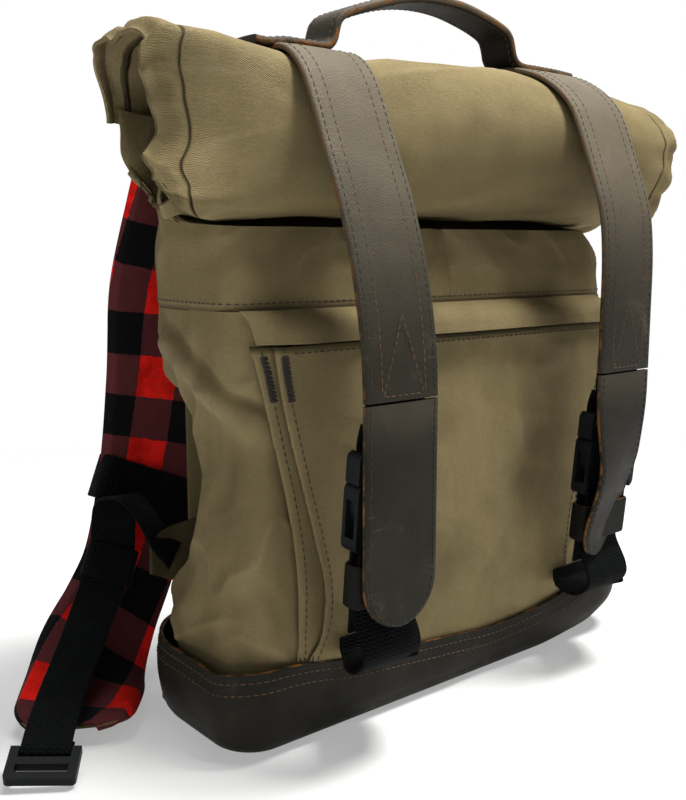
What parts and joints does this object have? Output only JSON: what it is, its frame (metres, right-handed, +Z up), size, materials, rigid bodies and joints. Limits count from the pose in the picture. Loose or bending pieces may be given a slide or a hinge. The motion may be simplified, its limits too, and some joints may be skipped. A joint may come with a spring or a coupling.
{
  "type": "roll-top backpack",
  "caption": "Canvas roll-top backpack with leather base, leather closure straps over side-release buckles, carrying handle, front pocket and padded plaid-lined shoulder straps.",
  "frame": {"origin": "centre of the leather base, on the floor", "axes": "+Z up, -Y the front with the pocket and the buckles, +X the right side seen from the front"},
  "size_m": [0.4277, 0.2188, 0.3971],
  "materials": {
    "canvas": "waxed khaki canvas",
    "leather": "oiled dark brown leather with tan cut edges",
    "webbing": "woven black webbing",
    "plastic": "moulded black plastic",
    "plaid": "woven red and black check lining",
    "board": "stiff bottom board"
  },
  "bodies": {
    "bag": {"back_pad": "canvas", "back_panel": "canvas", "base_board": "board", "collar": "canvas", "front_panel": "canvas", "handle": "leather", "leather_base": "leather", "left_adjuster_webbing": "webbing", "left_buckle_plug": "plastic", "left_buckle_receiver": "plastic", "left_closure_strap": "leather", "left_gusset": "canvas", "left_lower_webbing": "webbing", "left_side_wing": "canvas", "left_upper_webbing": "webbing", "left_webbing_keeper": "leather", "pocket_panel": "canvas", "right_adjuster_webbing": "webbing", "right_buckle_plug": "plastic", "right_buckle_receiver": "plastic", "right_closure_strap": "leather", "right_gusset": "canvas", "right_lower_webbing": "webbing", "right_side_wing": "canvas", "right_upper_webbing": "webbing", "right_webbing_keeper": "leather", "roll_top": "canvas"},
    "left_tab": {"left_closure_tab": "leather"},
    "left_arm_outer": {"left_buckle_arm_outer": "plastic"},
    "left_arm_inner": {"left_buckle_arm_inner": "plastic"},
    "left_strap": {"left_shoulder_pad": "canvas", "left_strap_lining": "plaid", "left_pad_band": "webbing", "left_tail_keeper": "webbing", "left_strap_tail": "webbing", "left_ladder_lock": "plastic"},
    "right_tab": {"right_closure_tab": "leather"},
    "right_arm_outer": {"right_buckle_arm_outer": "plastic"},
    "right_arm_inner": {"right_buckle_arm_inner": "plastic"},
    "right_strap": {"right_shoulder_pad": "canvas", "right_strap_lining": "plaid", "right_pad_band": "webbing", "right_tail_keeper": "webbing", "right_strap_tail": "webbing", "right_ladder_lock": "plastic"},
    "flap": {"pocket_flap": "canvas"}
  },
  "joints": [
    {"name": "left_tab_lift", "type": "hinge", "parent": "bag", "child": "left_tab", "pos_m": [-0.088, -0.10665, 0.18785], "axis": [-1, 0, 0], "range_deg": [0, 80]},
    {"name": "left_buckle_press", "type": "hinge", "parent": "bag", "child": "left_arm_outer", "pos_m": [-0.1016, -0.09634, 0.14908], "axis": [0, -0.9959, -0.0907], "range_deg": [0, 12], "stiffness_Nm_per_rad": 0.05},
    {"name": "left_buckle_follow", "type": "hinge", "parent": "bag", "child": "left_arm_inner", "pos_m": [-0.0744, -0.09634, 0.14908], "axis": [0, 0.9959, 0.0907], "range_deg": [0, 12], "stiffness_Nm_per_rad": 0.05},
    {"name": "left_strap_swing", "type": "hinge", "parent": "bag", "child": "left_strap", "pos_m": [-0.10005, 0.05604, 0.3111], "axis": [1, 0, 0], "range_deg": [0, 25], "deforming": ["left_adjuster_webbing"]},
    {"name": "right_tab_lift", "type": "hinge", "parent": "bag", "child": "right_tab", "pos_m": [0.088, -0.10665, 0.18785], "axis": [-1, 0, 0], "range_deg": [0, 80]},
    {"name": "right_buckle_press", "type": "hinge", "parent": "bag", "child": "right_arm_outer", "pos_m": [0.1016, -0.09634, 0.14908], "axis": [0, 0.9959, 0.0907], "range_deg": [0, 12], "stiffness_Nm_per_rad": 0.05},
    {"name": "right_buckle_follow", "type": "hinge", "parent": "bag", "child": "right_arm_inner", "pos_m": [0.0744, -0.09634, 0.14908], "axis": [0, -0.9959, -0.0907], "range_deg": [0, 12], "stiffness_Nm_per_rad": 0.05},
    {"name": "right_strap_swing", "type": "hinge", "parent": "bag", "child": "right_strap", "pos_m": [0.10005, 0.05607, 0.31105], "axis": [1, 0, 0], "range_deg": [0, 25], "deforming": ["right_adjuster_webbing"]},
    {"name": "pocket_flap_lift", "type": "hinge", "parent": "bag", "child": "flap", "pos_m": [0, -0.0545, 0.2282], "axis": [-1, 0, 0], "range_deg": [0, 75]}
  ],
  "couplings": [
    {"joint": "left_buckle_follow", "follows": "left_buckle_press", "ratio": 1},
    {"joint": "right_buckle_follow", "follows": "right_buckle_press", "ratio": 1}
  ]
}
